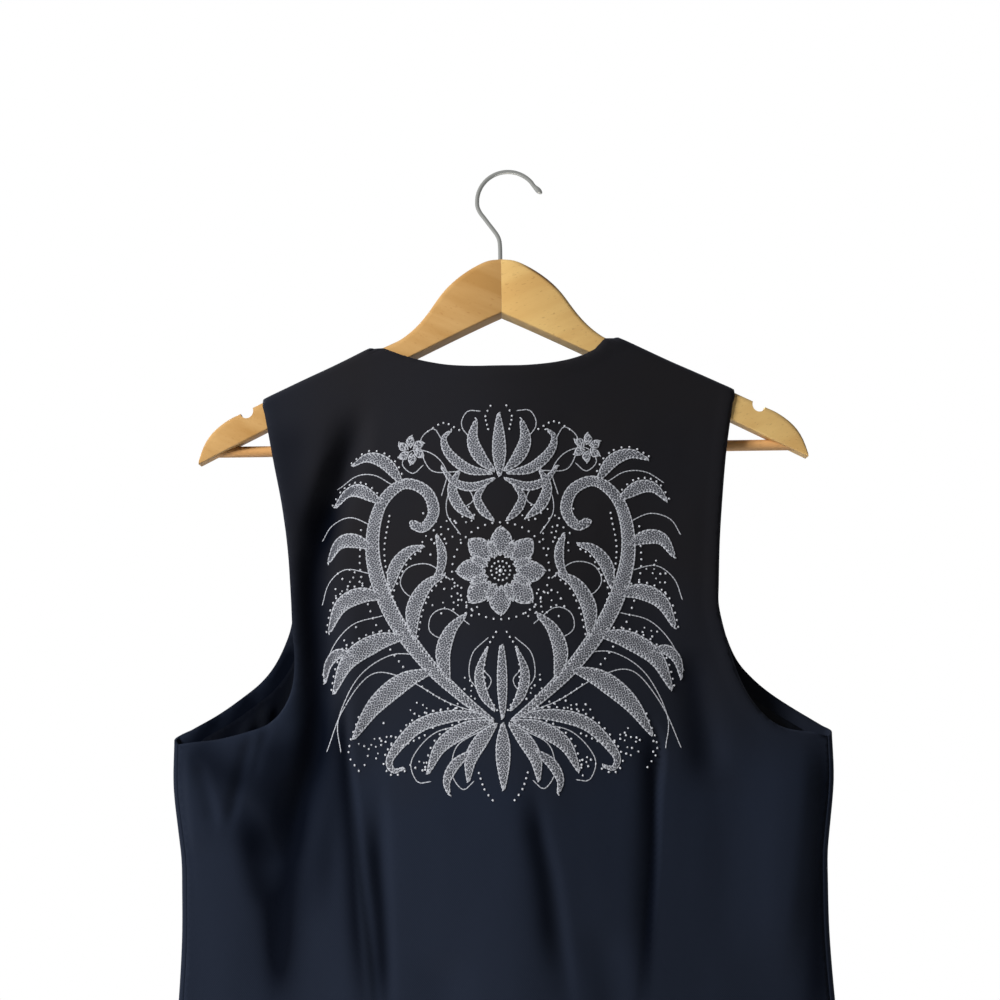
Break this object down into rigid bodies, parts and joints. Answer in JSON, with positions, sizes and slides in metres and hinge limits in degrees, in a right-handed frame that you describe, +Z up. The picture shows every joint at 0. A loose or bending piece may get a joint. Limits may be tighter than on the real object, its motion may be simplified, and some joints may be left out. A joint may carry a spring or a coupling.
{
  "type": "western vest on a wooden hanger",
  "caption": "Dark sleeveless V-neck vest with a silver embroidered back, hanging flat on a contoured wooden hanger with a wire hook.",
  "frame": {"origin": "inner top point of the hanger's hook, where a rail bears", "axes": "+Z up, -Y towards the back of the vest, +X towards the wearer's right side"},
  "size_m": [0.4691, 0.064, 0.699],
  "materials": {
    "cloth": "smooth twill with a soft navy sheen",
    "lining": "satin",
    "arm": "clear satin lacquer",
    "bar": "clear satin lacquer",
    "hook": "bright plated",
    "button": "polished resin"
  },
  "bodies": {
    "root": {"back": "cloth", "front_left": "cloth", "front_right": "cloth", "lining_left": "lining", "lining_right": "lining", "button_1": "button", "button_2": "button", "button_3": "button", "button_4": "button", "button_5": "button", "hanger_arm_left": "arm", "hanger_arm_right": "arm", "hanger_bar": "bar", "hook": "hook"}
  },
  "joints": []
}
